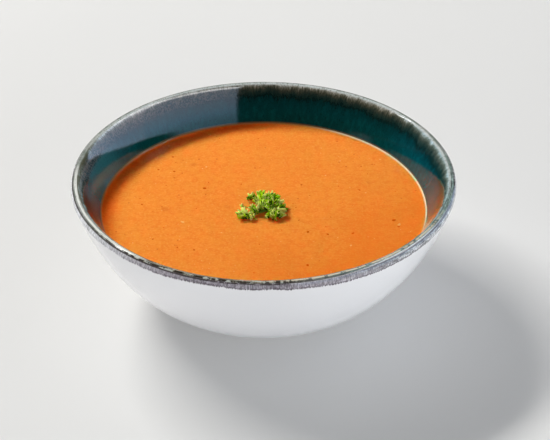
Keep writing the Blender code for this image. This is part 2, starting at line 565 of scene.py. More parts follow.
@dataclass(frozen=True)
class ReactiveGlaze:
    """Bowl's glaze: teal inside, breaking to grey green over the lip, white outside.

    The "run" attribute is the distance along the section from the lip's crest in millimetres, more
    than 0 inside and less than 0 outside.
    """

    rim_mm: float = 85.0
    inside_mm: float = 24.0
    break_mm: float = 1.5  # where the thin dark line runs below the lip, outside
    edge_mm: float = 3.9  # where the white begins
    soup_mm: float = 43.0  # height of the soup against the wall
    pale_lip: Colour = (0.40, 0.42, 0.40)
    sage: Colour = (0.24, 0.28, 0.25)
    sea: Colour = (0.20, 0.30, 0.29)
    blotch: Colour = (0.50, 0.53, 0.49)
    # painted highlight on the lip's crest at the front right
    crest: Colour = (0.74, 0.67, 0.53)
    tan: Colour = (0.29, 0.26, 0.19)
    olive: Colour = (0.085, 0.085, 0.048)
    dark_lip: Colour = (0.016, 0.009, 0.005)
    # painted highlight inside the lip at the back
    inner_lip_highlight: Colour = (0.60, 0.65, 0.66)
    # painted highlight along the lip at the front left
    gleam: Colour = (0.86, 0.88, 0.85)
    paler: Colour = (1.8, 1.7, 1.7)  # factor in the glaze's thicker clouds
    reflected_blue: Colour = (1.1, 1.45, 1.75)  # factor at the bowl's two sides, a painted reflection
    # painted reflection: a brighter sea green low on the left wall
    left_reflection: Colour = (0.010, 0.125, 0.150)
    # pale specks of a painted reflection, the mottled mirror of the window at the back left
    fleck: Colour = (0.17, 0.145, 0.125)
    pinhole: Colour = (0.0006, 0.012, 0.012)
    tide_mark: Colour = (0.175, 0.112, 0.046)
    chalk: Colour = (0.60, 0.61, 0.64)
    slate: Colour = (0.24, 0.29, 0.30)
    lilac: Colour = (0.46, 0.42, 0.47)
    blot: Colour = (0.15, 0.12, 0.14)
    plum: Colour = (0.055, 0.030, 0.050)
    white: Colour = (0.93, 0.925, 0.945)
    stoneware: Colour = (0.44, 0.37, 0.29)
    grit: Colour = (0.24, 0.19, 0.14)
    teal: Stops = (
        (0.0, (0.40, 0.42, 0.40)),
        (0.045, (0.33, 0.35, 0.32)),
        (0.075, (0.17, 0.175, 0.14)),
        (0.11, (0.075, 0.080, 0.058)),
        (0.155, (0.032, 0.040, 0.029)),
        (0.21, (0.011, 0.026, 0.021)),
        (0.29, (0.002, 0.014, 0.013)),
        (0.38, (0.0010, 0.030, 0.033)),
        (0.55, (0.0007, 0.044, 0.048)),
        (1.0, (0.0020, 0.050, 0.050)),
    )  # from the lip, 0, to the depth inside_mm, 1
    lip_streaks: Greys = ((0.36, 0.12), (0.46, 0.50), (0.54, 1.0), (0.62, 1.7))
    veins: Greys = ((0.40, 0.30), (0.50, 0.90), (0.60, 1.8))
    band_streaks: Greys = ((0.38, 0.35), (0.50, 0.95), (0.62, 1.6))

    def _inside(self, rim: Rim) -> Signal:
        """Colour of the teal glaze with its speckled runs, and painted reflections at its sides and
        back.

        Args:
            rim: The bowl's patterns.

        Returns:
            The colour.
        """
        graph, run = rim.graph, rim.run
        down = run + (rim.grain(0.6, 2.6, 4.0, 0.65) - 0.5) * 5.0
        down = down + (rim.grain(5.0, 12.0, 2.0, 0.5) - 0.5) * 4.5
        glaze = graph.ramp(down / self.inside_mm, self.teal)
        cloud = rim.grain(2.2, 4.0, 4.0, 0.65)
        glaze = graph.blend(cloud.ease(0.42, 0.68) * 0.6, glaze, graph.times(glaze, self.paler))
        # Painted reflection: the glaze is drawn bluer at the bowl's two sides.
        ends = abs(rim.side(0.0)).ease(0.72, 0.97)
        glaze = graph.blend(ends, glaze, graph.times(glaze, self.reflected_blue))
        # Painted reflection: a brighter sea green low on the left wall.
        left = rim.side(172.0).ease(0.93, 0.99) * run.ease(6.0, 9.0)
        fleck = rim.grain(0.9, 0.9, 3.0, 0.65)
        # Painted reflection: pale specks where the window is mirrored at the back left.
        window_mirror = run.ease(1.5, 3.0) * run.ease(9.5, 5.0) * rim.side(145.0).ease(0.62, 0.86)
        height = graph.part(graph.place(), "Z") / MM - self.soup_mm
        tide = height.ease(0.05, 0.25) * height.ease(0.95, 0.55) * (cloud * 0.5 + 0.55)
        return graph.coats(
            glaze,
            (left * 0.85, self.left_reflection),
            (window_mirror * fleck.ease(0.44, 0.60) * 0.55, self.fleck),
            (fleck.ease(0.46, 0.34) * 0.5, self.pinhole),
            (tide, self.tide_mark),
        )

    def _lip(self, rim: Rim) -> Signal:
        """Colour of the lip: pale grey green in long streaks, dark where the glaze is thin, with
        painted highlights.

        Args:
            rim: The bowl's patterns.

        Returns:
            The colour.
        """
        graph, run = rim.graph, rim.run
        patch = rim.grain(3.0, 6.0)
        speck = rim.grain(0.7, 0.9)
        streak = rim.grain(9.0, 0.7)
        front = rim.side(-110.0).ease(0.68, 0.94)
        right = rim.side(-38.0).ease(0.50, 0.92)
        tint = rim.grain(7.0, 20.0, 2.0, 0.5)
        pale = graph.coats(
            self.pale_lip,
            (tint.ease(0.42, 0.60), self.sage),
            (right * 0.8, self.sea),
            (front * 0.85, self.tan),
        )
        streaky = graph.streaked(pale, rim.grain(4.5, 0.45, 4.0, 0.7), self.lip_streaks)
        stripe = abs(run + 1.0 + (streak - 0.5) * 1.2).ease(1.15, 0.65)
        bare = (patch + right * 0.10).ease(0.62, 0.52) * (front * 0.75 + 0.25)
        # Painted highlight on the lip's crest at the front right.
        crest = abs(run + 0.1).ease(0.6, 0.25) * rim.side(-58.0).ease(0.76, 0.94)
        # Painted highlight inside the lip at the back, broken by specks.
        back = rim.side(75.0).ease(-0.05, 0.20) * speck.ease(0.68, 0.44)
        # Painted highlight: a pale line along the lip at the front left.
        left = rim.side(206.0).ease(0.83, 0.945) * streak.ease(0.34, 0.48)
        return graph.coats(
            pale,
            ((front + right).at_most(1.0) * 0.62 + 0.25, streaky),
            (speck.ease(0.54, 0.68) * 0.45, self.olive),
            (stripe * bare * 0.95, self.dark_lip),
            (rim.grain(3.0, 1.6).ease(0.56, 0.62) * front * 0.8, self.blotch),
            (crest * patch.ease(0.40, 0.50) * 0.85, self.crest),
            (run.ease(0.0, 0.4) * run.ease(2.0, 1.5) * back * 0.8, self.inner_lip_highlight),
            (abs(run + 0.05).ease(0.75, 0.40) * left * 0.85, self.gleam),
        )

    def _left_streak(self, rim: Rim) -> Signal:
        """How far the olive streak inside the lip's left side covers the glaze."""
        ragged = rim.side(183.0).ease(0.90, 0.985) * rim.grain(9.0, 0.7).ease(0.28, 0.48)
        return rim.run.ease(0.4, 0.9) * rim.run.ease(2.6, 1.7) * ragged * 0.85

    def _outside(self, rim: Rim) -> Signal:
        """Colour of the outside: dark line, lilac band with its ragged edge, then white.

        Args:
            rim: The bowl's patterns.

        Returns:
            The colour.
        """
        graph, down = rim.graph, -rim.run
        wander = rim.grain(14.0, 60.0, 2.0, 0.5) - 0.5
        teeth = rim.grain(0.45, 3.0, 3.0, 0.7)
        blots = rim.grain(1.4, 1.4, 4.0, 0.65)
        front = rim.side(-95.0).ease(0.64, 0.96)
        right = rim.side(-45.0).ease(0.70, 0.96)
        dark = rim.side(-78.0).ease(0.50, 0.97)
        inner = wander * 1.6 + (teeth - 0.5) * 3.0 + right * 1.5 + self.edge_mm - down
        high = 1.0 - down.ease(1.7, 2.6) * 0.75
        band = graph.blend(right * high * 0.9, self.chalk, self.slate)
        veined = graph.streaked(band, rim.grain(5.0, 0.5, 4.0, 0.7), self.veins)
        band = graph.coats(band, (right * 0.85, veined), (front * 0.9, self.lilac))
        streaky = graph.streaked(band, rim.grain(0.5, 2.4, 4.0, 0.7), self.band_streaks)
        fringe = inner.ease(1.3, 0.35) * teeth.ease(0.40, 0.52) * (dark * 0.85 + 0.12)
        line = abs(down + wander * 0.5 - self.break_mm).ease(0.60, 0.18)
        near_left = rim.side(216.0).ease(0.76, 0.93)
        broken = (blots - near_left * 0.6 - right * 0.15).ease(0.62, 0.50)
        return graph.coats(
            band,
            (0.75, streaky),
            (blots.ease(0.46, 0.62) * (dark * 0.45 + 0.10), self.blot),
            (fringe, self.plum),
            (line * broken * 0.9, self.dark_lip),
            (inner.ease(0.25, -0.20), self.white),
        )

    def build(self) -> bpy.types.Material:
        """Make the glaze.

        Returns:
            The material.
        """
        graph = Graph.of_material("teal_and_white_glaze")
        rim = Rim(graph, self.rim_mm)
        spot, run = graph.place(), rim.run
        bare = graph.part(spot, "Z").ease(0.7 * MM, 0.5 * MM)
        fine = graph.noise(spot, 900.0, 3.0, 0.6)
        clay = graph.blend(fine.ease(0.52, 0.68) * 0.5, self.stoneware, self.grit)
        wave = graph.noise(spot, 160.0, 2.0)
        pits = graph.noise(spot, 1400.0, 2.0)
        relief = wave * 0.8 + fine * 0.8 + pits * 0.2 * bare
        glazed = graph.coats(
            self._inside(rim),
            (run.ease(1.8, 0.7), self._lip(rim)),
            (self._left_streak(rim), self.olive),
            (run.ease(-1.0, -1.5), self._outside(rim)),
            (bare, clay),
        )
        inputs = {
            "Base Color": glazed,
            "Roughness": wave * 0.04 + 0.025 + run.ease(-1.5, -4.0) * 0.10 + bare * 0.6,
            "Normal": graph.bump(relief, 0.08 * MM, 0.30),
            "IOR": 1.5,
        }
        return graph.principled(inputs)


@dataclass(frozen=True)
class SmoothSoup:
    """Sieved tomato soup: orange with faint grain, fine specks, a dull skin, painted shade and
    highlight.

    The "climb" attribute is 0 on the flat surface and 1 where the soup meets the wall. Painted
    shade reddens it in the half-shadow at the back left and towards the front right; a painted
    highlight lies on its wet edge on the sunny side.
    """

    orange: Colour = (0.944, 0.295, 0.041)
    deep: Colour = (0.894, 0.223, 0.027)
    light: Colour = (0.964, 0.375, 0.073)
    rust: Colour = (0.62, 0.070, 0.004)
    pulp: Colour = (0.98, 0.50, 0.16)
    blush: Colour = (0.72, 0.12, 0.012)
    front_shade: Colour = (0.89, 0.180, 0.015)  # painted shade: redder and darker towards the front right, away from the light
    thin: Colour = (1.0, 0.39, 0.12)  # factor: painted shade, deeper red in the half-shadow under the wall
    film: Colour = (0.46, 0.165, 0.048)  # the wet edge on the wall
    edge_highlight: Colour = (0.95, 0.80, 0.58)  # painted highlight on the wet edge's sunny side
    shore_mm: float = 76.0  # radius of the soup's edge
    bleed: tuple[float, float, float] = (1.0, 0.05, 0.02)  # how far red, green and blue spread
    bleed_mm: float = 9.5

    def build(self) -> bpy.types.Material:
        """Make the soup's finish.

        Returns:
            The material.
        """
        graph = Graph.of_material("sieved_tomato_soup")
        spot, shore_mm = graph.place(), self.shore_mm
        x, y = graph.part(spot, "X") / MM, graph.part(spot, "Y") / MM
        cloud = graph.noise(spot, 42.0, 3.0, 0.55)
        grain = graph.noise(spot, 900.0, 3.0, 0.6)
        mottle = graph.noise(spot, 330.0, 3.0, 0.6)
        aside = graph.summed(spot, graph.vector(0.4, 0.7, 0.0))
        apart = graph.summed(spot, graph.vector(0.1, 0.3, 0.0))
        # Painted shade: redder and darker towards the front right, away from the light.
        away_from_light = (x * 0.75 - y * 0.65 + (cloud - 0.5) * 60.0).ease(5.0, 75.0)
        body = graph.coats(
            self.orange,
            (cloud.ease(0.38, 0.62) * 0.30, self.deep),
            (mottle.ease(0.42, 0.62) * 0.65, self.deep),
            (grain.ease(0.50, 0.66) * 0.60, self.light),
            (grain.ease(0.46, 0.34) * 0.50, self.deep),
            (graph.spots(spot, 260.0, 0.16, 0.30) * 0.55, self.rust),
            (graph.spots(aside, 300.0, 0.13, 0.22) * 0.55, self.pulp),
            (graph.spots(apart, 75.0, 0.22, 0.30) * 0.34, self.blush),
            (away_from_light * 0.55, self.front_shade),
        )
        # Painted shade: deeper red in the half-shadow that the wall casts at the back left, fainter
        # all round the edge.
        behind = (y * 0.64 - x * 0.77).ease(shore_mm * 0.30, shore_mm * 0.75)
        shore = ((x * x + y * y) ** 0.5).ease(shore_mm - 14.0, shore_mm - 3.0)
        # Painted highlight: the wet edge is drawn cream on its sunny side.
        sunny = (x * 0.91 + y * 0.42).ease(shore_mm * 0.60, shore_mm * 0.88)
        film = graph.blend(sunny, self.film, self.edge_highlight)
        body = graph.coats(
            body,
            (shore * (behind * 0.85 + 0.15), graph.times(body, self.thin)),
            (graph.attribute("climb").ease(0.35, 0.80) * 0.85, film),
        )
        swell = graph.noise(spot, 60.0, 2.0) * 0.7 + grain * 0.3
        inputs = {
            "Base Color": body,
            "Roughness": grain * 0.06 + 0.09,
            "Normal": graph.bump(swell, 0.10 * MM, 0.35),
            "IOR": 1.38,
            "Specular IOR Level": 0.07,
            "Subsurface Weight": 0.9,
            "Subsurface Radius": self.bleed,
            "Subsurface Scale": self.bleed_mm * MM,
        }
        return graph.principled(inputs, "BURLEY")


@dataclass(frozen=True)
class Bit:
    """Small bit in the soup, of pulp or spice, darker or paler in parts."""

    name: str
    colour: Colour
    other: Colour
    roughness: float = 0.4
    sheen: float = 0.3

    def build(self) -> bpy.types.Material:
        """Make the bit's finish.

        Returns:
            The material.
        """
        graph = Graph.of_material(self.name)
        cloud = graph.noise(graph.place(), 1500.0, 2.0)
        inputs = {
            "Base Color": graph.blend(cloud.ease(0.40, 0.60), self.colour, self.other),
            "Roughness": cloud * 0.2 + self.roughness,
            "Normal": graph.bump(cloud, 0.06 * MM, 0.5),
            "Specular IOR Level": self.sheen,
        }
        return graph.principled(inputs)


@dataclass(frozen=True)
class CurlyLeaf:
    """Parsley leaf: painted shade in its folds, painted highlights on its edges and palest at its
    tips.

    The "tip" attribute runs from 0 at a lobe's root to 1 at its tip, "rim" is 1 on its edges and
    "sort" is the lobe's own shade.
    """

    shades: Stops = (
        (0.0, (0.022, 0.072, 0.0003)),
        (0.32, (0.190, 0.50, 0.0005)),
        (0.80, (0.60, 0.98, 0.004)),
        (1.0, (0.92, 1.0, 0.26)),
    )  # from painted shade in its folds, 0, to painted highlights at its tips, 1
    glow: tuple[float, float, float] = (0.5, 1.0, 0.06)  # how far red, green and blue spread
    glow_mm: float = 0.5

    def build(self) -> bpy.types.Material:
        """Make the leaf's finish.

        Returns:
            The material.
        """
        graph = Graph.of_material("curly_parsley_leaf")
        cloud = graph.noise(graph.place(), 420.0, 3.0, 0.6)
        vein = graph.noise(graph.place(), 2600.0, 2.0)
        # Painted light: tips and edges drawn bright as if lit, folds and roots dark as painted
        # shade.
        lit = graph.attribute("tip") + graph.attribute("rim") * 0.45 - 0.30
        lit = lit + (cloud - 0.5) * 0.7 + (graph.attribute("sort") - 0.5) * 1.1
        inputs = {
            "Base Color": graph.ramp(lit.ease(-0.05, 1.05), self.shades),
            "Roughness": vein * 0.25 + 0.45,
            "Normal": graph.bump(vein, 0.05 * MM, 0.6),
            "IOR": 1.33,
            "Specular IOR Level": 0.02,
            "Subsurface Weight": 0.2,
            "Subsurface Radius": self.glow,
            "Subsurface Scale": self.glow_mm * MM,
        }
        return graph.principled(inputs)


@dataclass(frozen=True)
class PaleStem:
    """Parsley stem: pale green, finely ribbed along its length."""

    pale: Colour = (0.36, 0.55, 0.06)
    green: Colour = (0.12, 0.27, 0.006)

    def build(self) -> bpy.types.Material:
        """Make the stem's finish.

        Returns:
            The material.
        """
        graph = Graph.of_material("parsley_stem")
        cloud = graph.noise(graph.place(), 330.0, 2.0)
        rib = graph.noise(graph.place(), 2200.0, 2.0)
        share = (cloud - 0.5) * 1.6 + graph.attribute("tip") * 0.6 + 0.2
        inputs = {
            "Base Color": graph.blend(share.ease(0.0, 1.0), self.pale, self.green),
            "Roughness": rib * 0.2 + 0.5,
            "Specular IOR Level": 0.06,
            "Normal": graph.bump(rib, 0.05 * MM, 0.5),
        }
        return graph.principled(inputs)


# ---------------------------------------------------------------- bowl


@dataclass
class Bowl:
    """Turned bowl with a rolled lip, a leaning wall and a low foot ring."""

    rim_r: float = 0.085
    height: float = 0.060
    lip_r: float = 0.00232
    lip_lean: float = math.radians(17.6)
    wall_t: float = 0.0063
    wall_swell: float = 0.12
    shoulder: tuple[tuple[float, float], ...] = (
        *((0.0, 90.0), (1.0, 62.0), (2.0, 43.0), (3.0, 35.5), (4.0, 32.5), (5.0, 31.0)),
        *((7.0, 29.5), (10.0, 27.5), (13.0, 25.0), (17.0, 20.5), (24.0, 20.0)),
    )  # how steep the inside stands: millimetres down from the crest, degrees from upright
    fine_mm: float = 0.3  # steps down the inside under the lip
    fine_to_mm: float = 5.0
    coarse_mm: float = 0.8  # steps below that
    upper_pull: float = 0.0358
    lower_pull: float = 0.0184
    foot_r: float = 0.0365
    foot_h: float = 0.0038
    foot_w: float = 0.0046
    foot_edge: float = 0.0006
    base_z: float = 0.0026
    floor_dish: float = 0.0002
    search_steps: int = 500  # fineness in finding where the deep inside begins
    wall_points: int = 34
    lip_points: int = 11
    edge_points: int = 4
    deep_points: int = 14
    steps: int = 256
    glaze: ReactiveGlaze = field(default_factory=ReactiveGlaze)

    def outer_wall(self, t: float) -> tuple[Vector, Vector]:
        """Outside of the wall.

        Args:
            t: From 0 under the lip to 1 at the foot.

        Returns:
            The point (r, z) and the curve's direction there.
        """
        down = Vector((-math.sin(self.lip_lean), -math.cos(self.lip_lean)))
        start = self.lip_point(-self.lip_lean)
        end = Vector((self.foot_r, self.foot_h))
        pulls = (start, start + down * self.upper_pull, end + Vector((self.lower_pull, 0.0)), end)
        weights = ((1 - t) ** 3, 3 * (1 - t) ** 2 * t, 3 * (1 - t) * t**2, t**3)
        slopes = (3 * (1 - t) ** 2, 6 * (1 - t) * t, 3 * t**2)
        point = sum((weight * pull for weight, pull in zip(weights, pulls)), Vector((0.0, 0.0)))
        along = Vector((0.0, 0.0))
        for slope, near, far in zip(slopes, pulls, pulls[1:]):
            along += slope * (far - near)
        return point, along.normalized()

    def inner_wall(self, t: float) -> Vector:
        """Deep inside, straight across the wall from outer_wall(t).

        Args:
            t: From 0 under the lip to 1 at the foot.

        Returns:
            The point (r, z).
        """
        point, along = self.outer_wall(t)
        inward = Vector((along.y, -along.x))
        swell = 1.0 - math.exp(-t / self.wall_swell)
        return point + inward * (2 * self.lip_r + (self.wall_t - 2 * self.lip_r) * swell)

    def lip_point(self, angle: float) -> Vector:
        """Point (r, z) of the rolled lip at an angle above the level outward direction."""
        centre = Vector((self.rim_r - self.lip_r, self.height - self.lip_r))
        return centre + self.lip_r * Vector((math.cos(angle), math.sin(angle)))

    def _steepness(self, run_mm: float) -> float:
        """How steep the inside stands.

        Args:
            run_mm: Distance down from the crest.

        Returns:
            Its angle from upright, in radians.
        """
        for (near, first), (far, second) in zip(self.shoulder, self.shoulder[1:]):
            if run_mm <= far:
                share = (run_mm - near) / (far - near)
                return math.radians(first + (second - first) * share)
        return math.radians(self.shoulder[-1][1])

    def inside(self) -> list[Vector]:
        """Inside of the bowl, from the lip's crest to the floor's middle.

        Returns:
            Points (r, z), close together on the shoulder under the lip.
        """
        points = [self.lip_point(math.pi / 2)]
        run_mm = 0.0
        while run_mm < self.shoulder[-1][0]:
            step_mm = self.fine_mm if run_mm < self.fine_to_mm else self.coarse_mm
            steep = self._steepness(run_mm + step_mm / 2)
            down = Vector((math.sin(steep), math.cos(steep)))
            points.append(points[-1] - down * step_mm * MM)
            run_mm += step_mm
        low = points[-1]
        shares = (n / self.search_steps for n in range(self.search_steps))
        start = next(t for t in shares if self.inner_wall(t).y < low.y)
        shift = low - self.inner_wall(start)
        for n in range(1, self.deep_points + 1):
            share = n / self.deep_points
            points.append(self.inner_wall(start + (1 - start) * share) + shift * (1 - share) ** 2)
        points.append(Vector((points[-1].x / 2, points[-1].y - self.floor_dish / 2)))
        points.append(Vector((0.0, points[-1].y - self.floor_dish / 2)))
        return points

    def inside_r(self, height: float) -> float:
        """Radius of the inside.

        Args:
            height: Height above the foot.

        Returns:
            The radius there.
        """
        points = self.inside()
        for above, below in zip(points, points[1:]):
            if below.y <= height:
                share = (above.y - height) / (above.y - below.y)
                return above.x + (below.x - above.x) * share
        return 0.0

    def _edge(self, centre: Vector, start: float, end: float) -> list[Vector]:
        """Points of one rounded edge of the foot ring.

        Args:
            centre: Centre of the rounding.
            start: Angle of its first point.
            end: Angle of its last point.

        Returns:
            The points.
        """
        shares = [step / self.edge_points for step in range(self.edge_points + 1)]
        angles = [start + (end - start) * share for share in shares]
        return [centre + self.foot_edge * Vector((math.cos(a), math.sin(a))) for a in angles]

    def outline(self) -> tuple[list[Vector], int]:
        """Half section, from the floor's middle over the lip to the base's middle.

        Returns:
            The points (r, z) and the number of the one on the lip's crest.
        """
        points = self.inside()[::-1]
        crest = len(points) - 1
        angles = [math.pi / 2 * (1 - n / (self.lip_points - 1)) for n in range(1, self.lip_points)]
        points += [self.lip_point(angle) for angle in angles]
        points += [self.outer_wall(n / self.wall_points)[0] for n in range(self.wall_points + 1)]
        outer_r = self.foot_r - self.foot_edge
        inner_r = outer_r - self.foot_w + self.foot_edge
        low = self.foot_edge
        points.append(Vector((outer_r, self.foot_h - low)))
        points += self._edge(Vector((outer_r - low, low)), 0.0, -math.pi / 2)
        points += self._edge(Vector((inner_r, low)), -math.pi / 2, -math.pi)
        points.append(Vector((inner_r - 2 * low, self.base_z)))
        points.append(Vector((inner_r / 2, self.base_z)))
        points.append(Vector((0.0, self.base_z)))
        return points, crest

    def _measure_run(self, piece: bpy.types.Object, outline: Sequence[Vector], crest: int) -> None:
        """Store on each point its distance from the lip's crest in millimetres.

        Args:
            piece: The turned bowl.
            outline: Its half section.
            crest: Number of the section's point on the crest.
        """
        runs = [0.0] * len(outline)
        for n in range(crest - 1, -1, -1):
            runs[n] = runs[n + 1] + (outline[n] - outline[n + 1]).length / MM
        for n in range(crest + 1, len(outline)):
            runs[n] = runs[n - 1] - (outline[n] - outline[n - 1]).length / MM
        tree = KDTree(len(outline))
        for n, point in enumerate(outline):
            tree.insert((point.x, point.y, 0.0), n)
        tree.balance()

        def run_at(vert: bpy.types.MeshVertex) -> float:
            """Run of the section's point that a point was turned from."""
            return runs[tree.find((math.hypot(vert.co.x, vert.co.y), vert.co.z, 0.0))[1]]

        store(piece, "run", run_at)

    def build(self) -> bpy.types.Object:
        """Turn the bowl and glaze it.

        Returns:
            The bowl.
        """
        outline, crest = self.outline()
        piece = turned("glazed_bowl", outline, self.steps)
        self._measure_run(piece, outline, crest)
        finish_piece(piece, self.glaze.build())
        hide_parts("bowl")
        return piece


# ---------------------------------------------------------------- soup


@dataclass(frozen=True)
class BitKind:
    """One kind of bit that floats in the soup."""

    name: str
    finish: Bit
    placed: tuple[tuple[float, float, float], ...]  # mm from the middle, and radius in mm
    strewn: int
    smallest_mm: float
    largest_mm: float
    stretch: float
    seed: int
    shapes: int = 3
    lumps: float = 0.22  # how far its points lie off an even ball, as a share of its radius
    flatness: float = 0.30
    sunk: float = 0.12  # how deep it lies, as a share of its radius


DARK_BITS = BitKind(
    name="spice_bits",
    finish=Bit("spice_bit", (0.86, 0.125, 0.002), (0.64, 0.080, 0.001), 0.8, 0.0),
    placed=(
        *((19.2, -21.3, 0.62), (38.8, -22.6, 0.60), (-26.9, 14.8, 0.75)),
        *((-42.7, 42.5, 0.55), (18.5, -46.5, 0.66), (27.8, -23.2, 0.56)),
        *((57.5, -12.2, 0.80), (15.5, -11.9, 0.40), (43.7, 12.7, 0.50)),
        *((-41.5, 29.5, 0.55), (17.3, 17.4, 0.42), (59.2, -17.5, 0.52)),
        *((-54.7, 1.4, 0.48), (-30.0, -34.6, 0.48), (-48.2, -26.2, 0.42)),
        *((-48.9, 31.1, 0.52),),
    ),
    strewn=70,
    smallest_mm=0.14,
    largest_mm=0.34,
    stretch=1.25,
    seed=11,
)

PALE_BITS = BitKind(
    name="pulp_bits",
    finish=Bit("pulp_bit", (0.98, 0.47, 0.13), (0.95, 0.38, 0.07)),
    placed=(
        *((-35.9, -12.9, 0.85), (59.6, -15.8, 0.75), (37.5, -32.0, 0.50)),
        *((46.3, 10.4, 0.42), (-26.7, 33.4, 0.55), (-28.4, 31.8, 0.40)),
        *((35.9, 38.2, 0.40), (54.8, 39.3, 0.40), (-18.5, -21.6, 0.40)),
        *((28.6, 25.4, 0.36),),
    ),
    strewn=90,
    smallest_mm=0.12,
    largest_mm=0.27,
    stretch=1.5,
    seed=23,
)


@dataclass
class Soup:
    """Soup that fills the bowl, climbs a little at the wall and reaches just into it."""

    bowl: Bowl
    level: float
    reach: float = 0.0003
    climb_h: float = 0.0010
    climb_w: float = 0.0009
    rings: int = 46
    edge_rings: int = 16
    edge_power: float = 1.6  # how much closer the edge's rings lie near the wall
    under_edge: float = 0.0003  # gap in height between the edge and the wall's points below it
    clear: float = 0.0025  # how far strewn bits stay off the wall
    steps: int = 256
    finish: SmoothSoup = field(default_factory=SmoothSoup)
    bits: tuple[BitKind, ...] = (DARK_BITS, PALE_BITS)
    edge_r: float = field(init=False)

    def __post_init__(self) -> None:
        """Find where the surface meets the wall."""
        self.edge_r = self.bowl.inside_r(self.level + self.climb_h)

    def height_at(self, radius: float) -> float:
        """Height of the surface at a distance from the middle."""
        return self.level + self.climb_h * math.exp((radius - self.edge_r) / self.climb_w)

    def outline(self) -> list[Vector]:
        """Half section, from the middle of the surface to the middle of the bottom.

        Returns:
            The points (r, z).
        """
        climb = 6 * self.climb_w
        radii = [(self.edge_r - climb) * n / self.rings for n in range(self.rings + 1)]
        shares = [1 - n / self.edge_rings for n in range(1, self.edge_rings + 1)]
        radii += [self.edge_r - climb * share**self.edge_power for share in shares]
        points = [Vector((radius, self.height_at(radius))) for radius in radii]
        points[0].y = self.level
        points.append(points[-1] + Vector((self.reach, 0.0)))
        top = points[-1].y - self.under_edge
        deep = [point for point in self.bowl.inside() if point.y < top]
        points += [point + Vector((self.reach, 0.0)) for point in deep if point.x > 0.0]
        points.append(deep[-1])
        return points

    def _climb_at(self, vert: bpy.types.MeshVertex) -> float:
        """How far up the wall the soup's edge has climbed at a point, from 0 to 1."""
        return min(1.0, max(0.0, (vert.co.z - self.level) / self.climb_h))

    def _bit_shapes(self, kind: BitKind) -> list[bpy.types.Object]:
        """Lumpy flat bits of about 1 mm radius.

        Args:
            kind: Their kind.

        Returns:
            A few bits, to be copied.
        """
        shapes = []
        for number in range(kind.shapes):
            put_down()
            bpy.ops.mesh.primitive_uv_sphere_add(segments=8, ring_count=5, radius=MM)
            piece = active_piece(f"{kind.name}_{number}")
            with editing(piece):
                bpy.ops.mesh.select_all(action="SELECT")
                bpy.ops.transform.vertex_random(offset=kind.lumps * MM, seed=kind.seed + number)
                bpy.ops.transform.resize(value=(kind.stretch, 1.0, kind.flatness))
            shapes.append(piece)
        return shapes

    def _bit_places(self, kind: BitKind) -> list[tuple[float, float, float]]:
        """Places and radii of one kind of bit.

        Args:
            kind: The kind.

        Returns:
            (x, y, radius) of each bit in metres.
        """
        chance = random.Random(kind.seed)
        places = [(x * MM, y * MM, r * MM) for x, y, r in kind.placed]
        far = self.edge_r - self.clear
        for _ in range(kind.strewn):
            radius = far * math.sqrt(chance.random())
            turn = chance.uniform(0.0, 2 * math.pi)
            size = chance.uniform(kind.smallest_mm, kind.largest_mm) * MM
            places.append((radius * math.cos(turn), radius * math.sin(turn), size))
        return places

    def build_bits(self, kind: BitKind) -> bpy.types.Object:
        """Strew one kind of bit over the soup.

        Args:
            kind: The kind.

        Returns:
            One piece with all bits of the kind.
        """
        chance = random.Random(kind.seed + 1)
        shapes = self._bit_shapes(kind)
        copies = []
        for x, y, size in self._bit_places(kind):
            shape = chance.choice(shapes)
            turn = Matrix.Rotation(chance.uniform(0.0, 2 * math.pi), 4, "Z")
            place = Matrix.Translation((x, y, self.level - kind.sunk * size))
            copies.append(copy_of(shape, place @ turn @ Matrix.Scale(size / MM, 4)))
        discard(shapes)
        piece = join(kind.name, copies)
        smooth(piece)
        finish_piece(piece, kind.finish.build())
        return piece

    def build(self) -> bpy.types.Object:
        """Turn the soup, finish it and strew its bits.

        Returns:
            The soup without its bits.
        """
        piece = turned("soup_body", self.outline(), self.steps)
        store(piece, "climb", self._climb_at)
        finish_piece(piece, self.finish.build())
        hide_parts("soup")
        for kind in self.bits:
            self.build_bits(kind)
        return piece


# ---------------------------------------------------------------- parsley


